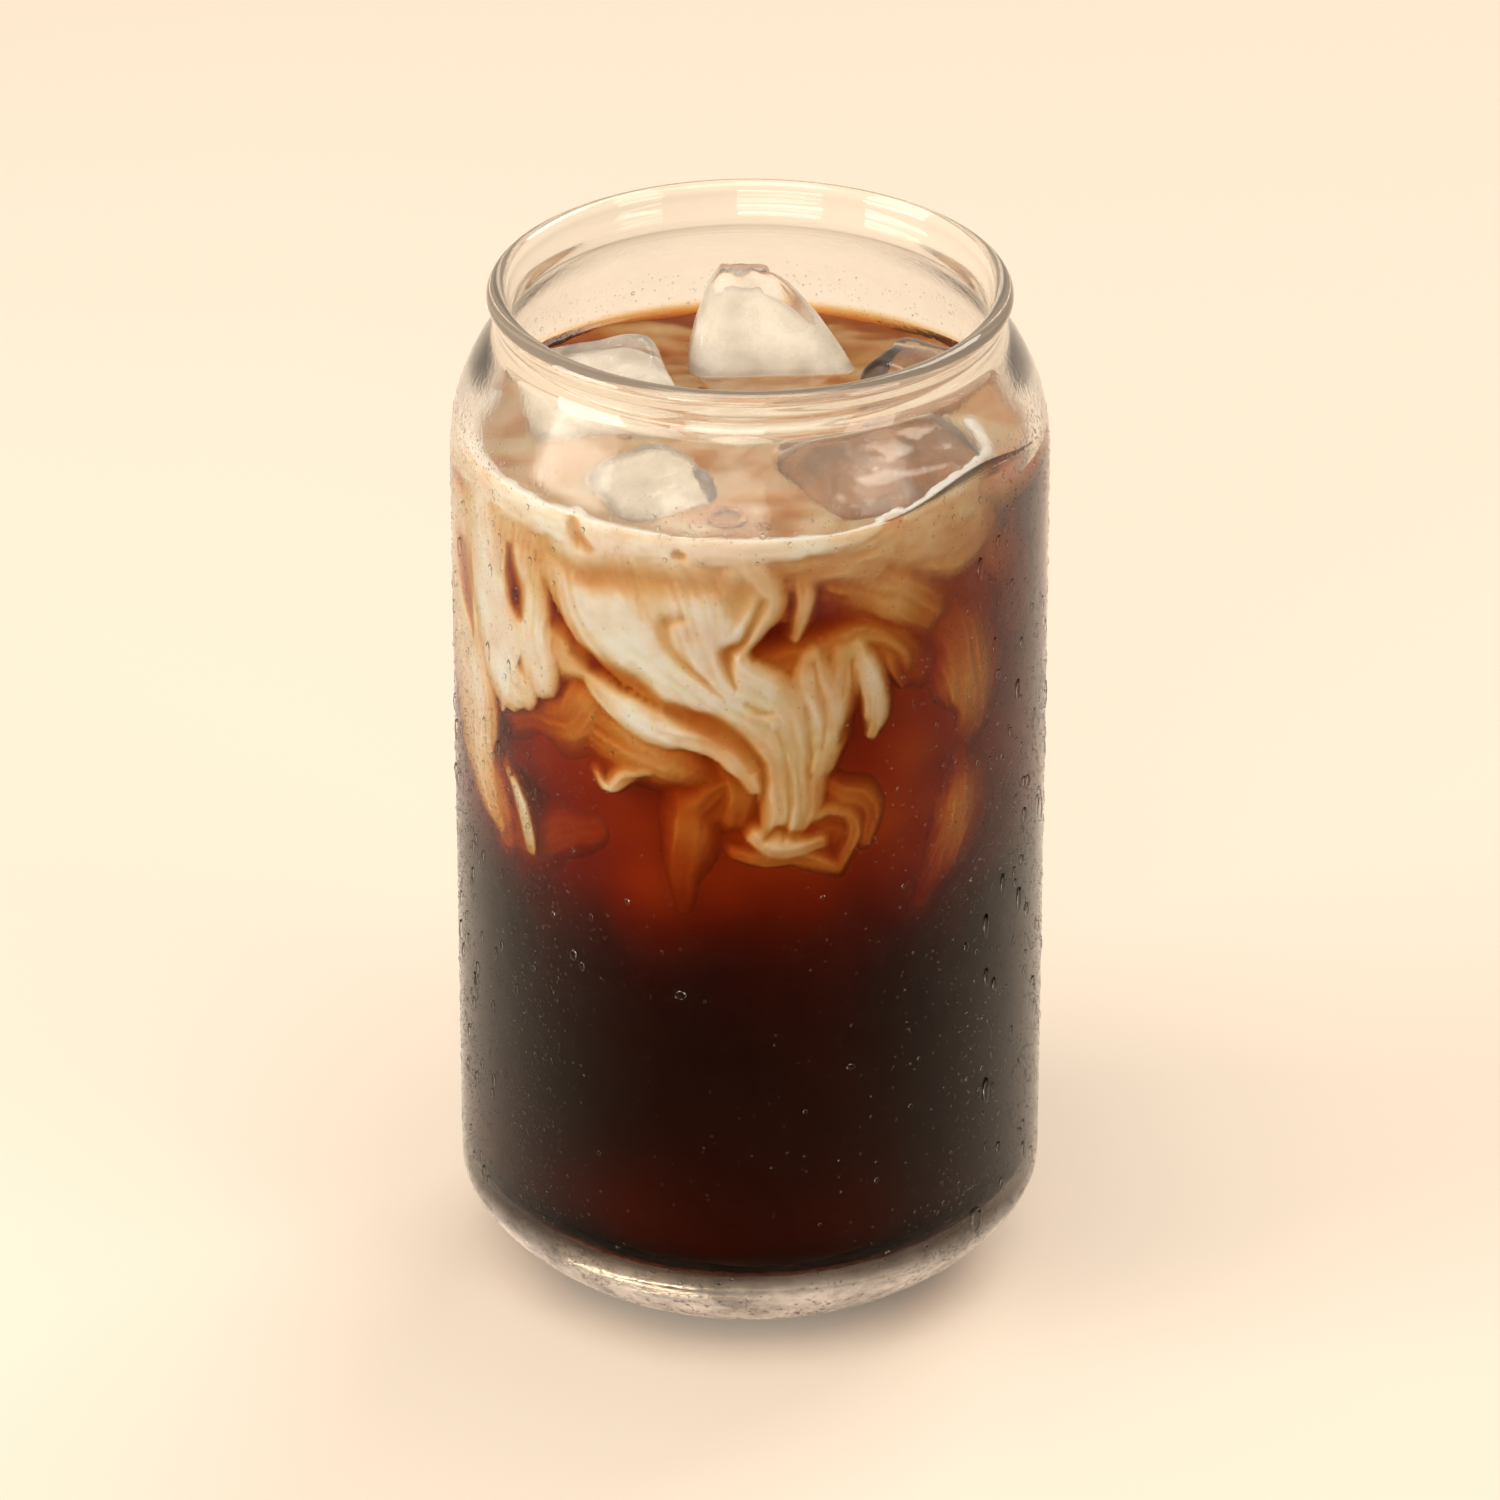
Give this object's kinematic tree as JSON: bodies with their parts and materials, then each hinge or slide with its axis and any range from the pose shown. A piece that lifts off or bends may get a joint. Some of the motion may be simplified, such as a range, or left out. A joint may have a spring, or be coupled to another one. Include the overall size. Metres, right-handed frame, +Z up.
{
  "type": "cold brew with cream",
  "caption": "Iced cold brew with cream swirling down from the surface, in a clear can-shaped tumbler with a drawn-in shoulder and a beaded mouth.",
  "frame": {"origin": "middle of the flat underside of the glass", "axes": "+Z up out of the mouth, -Y towards the side where the main cream plume hangs"},
  "size_m": [0.0736, 0.0736, 0.1333],
  "materials": {
    "clear_glass": "clear soda-lime glass with a mist of condensation",
    "cold_brew": "dark clear liquid, near black in depth and amber where thin",
    "cream": "soft cream, pale where thick and caramel where it thins out",
    "ice": "wet clear ice with rounded edges"
  },
  "bodies": {
    "root": {"glass": "clear_glass", "coffee": "cold_brew", "cream": "cream", "ice_back": "ice", "ice_left": "ice", "ice_middle": "ice", "ice_right": "ice", "ice_front_right": "ice", "ice_front_left": "ice"}
  },
  "joints": []
}
